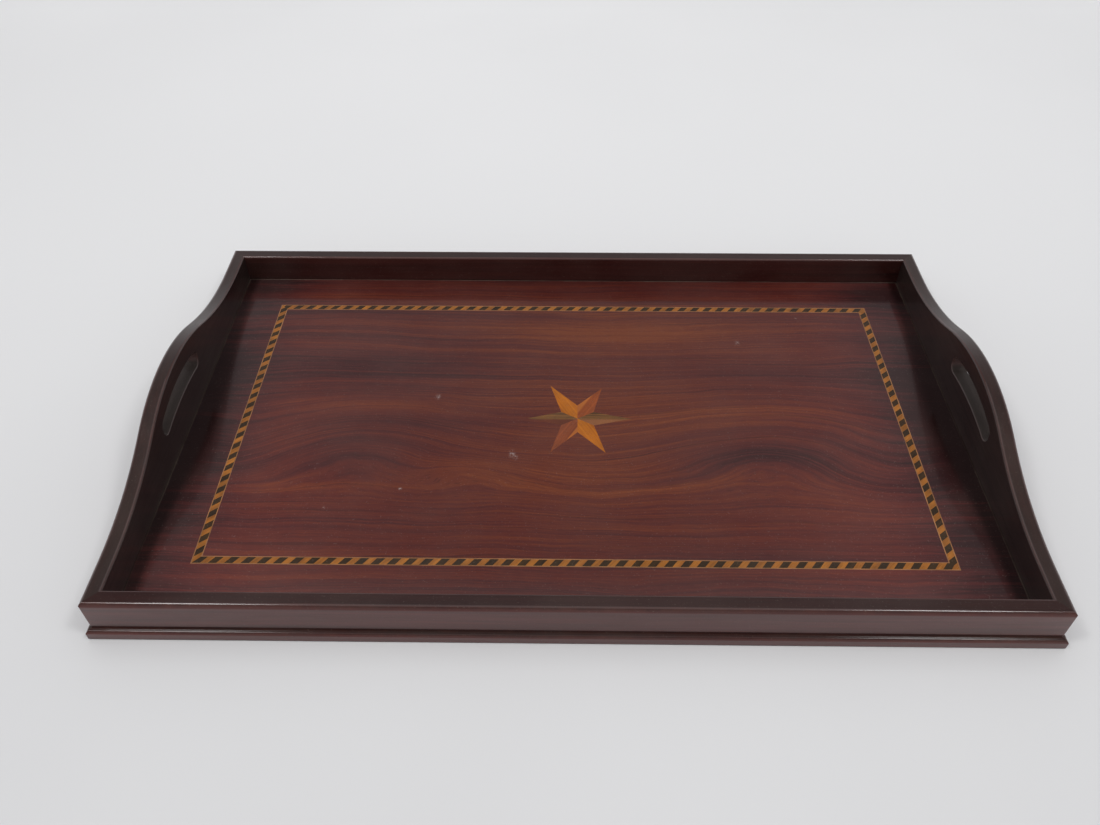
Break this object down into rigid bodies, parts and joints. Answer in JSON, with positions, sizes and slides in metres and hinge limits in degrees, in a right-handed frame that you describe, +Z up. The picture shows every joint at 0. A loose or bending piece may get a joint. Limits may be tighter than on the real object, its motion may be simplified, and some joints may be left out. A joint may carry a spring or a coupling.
{
  "type": "inlaid serving tray",
  "caption": "Rectangular wooden serving tray with low rails, humped end boards with finger slots, a rope-pattern inlaid banding and a star on the floor.",
  "frame": {"origin": "on the table under the middle of the tray", "axes": "+X along the long side, +Y from the front long side to the rear one, +Z up out of the tray"},
  "size_m": [0.609, 0.379, 0.0637],
  "materials": {
    "dark_mahogany": "french polish, worn semi-gloss",
    "figured_veneer": "french polish, semi-gloss",
    "core_wood": "bare sawn wood",
    "underside_wood": "thin matt varnish",
    "banding_light": "french polish, semi-gloss",
    "banding_dark": "french polish, semi-gloss",
    "fine_line": "french polish, semi-gloss",
    "star_amber": "french polish, semi-gloss",
    "star_russet": "french polish, semi-gloss",
    "star_olive": "french polish, semi-gloss",
    "spline_wood": "bare wood",
    "screw_steel": "dull, lightly oxidised"
  },
  "bodies": {
    "root": {"board_screws": "screw_steel", "core_board": "core_wood", "field_veneer": "figured_veneer", "front_base_moulding": "dark_mahogany", "front_dark_blocks": "banding_dark", "front_inner_line": "fine_line", "front_left_spline": "spline_wood", "front_light_blocks": "banding_light", "front_outer_line": "fine_line", "front_rail": "dark_mahogany", "front_right_spline": "spline_wood", "left_base_moulding": "dark_mahogany", "left_dark_blocks": "banding_dark", "left_end_board": "dark_mahogany", "left_inner_line": "fine_line", "left_light_blocks": "banding_light", "left_outer_line": "fine_line", "margin_veneer": "figured_veneer", "rear_base_moulding": "dark_mahogany", "rear_dark_blocks": "banding_dark", "rear_inner_line": "fine_line", "rear_left_spline": "spline_wood", "rear_light_blocks": "banding_light", "rear_outer_line": "fine_line", "rear_rail": "dark_mahogany", "rear_right_spline": "spline_wood", "right_base_moulding": "dark_mahogany", "right_dark_blocks": "banding_dark", "right_end_board": "dark_mahogany", "right_inner_line": "fine_line", "right_light_blocks": "banding_light", "right_outer_line": "fine_line", "star_front_left_point": "star_russet", "star_front_right_point": "star_amber", "star_left_point": "star_olive", "star_rear_left_point": "star_amber", "star_rear_right_point": "star_russet", "star_right_point": "star_olive", "underside_veneer": "underside_wood"}
  },
  "joints": []
}
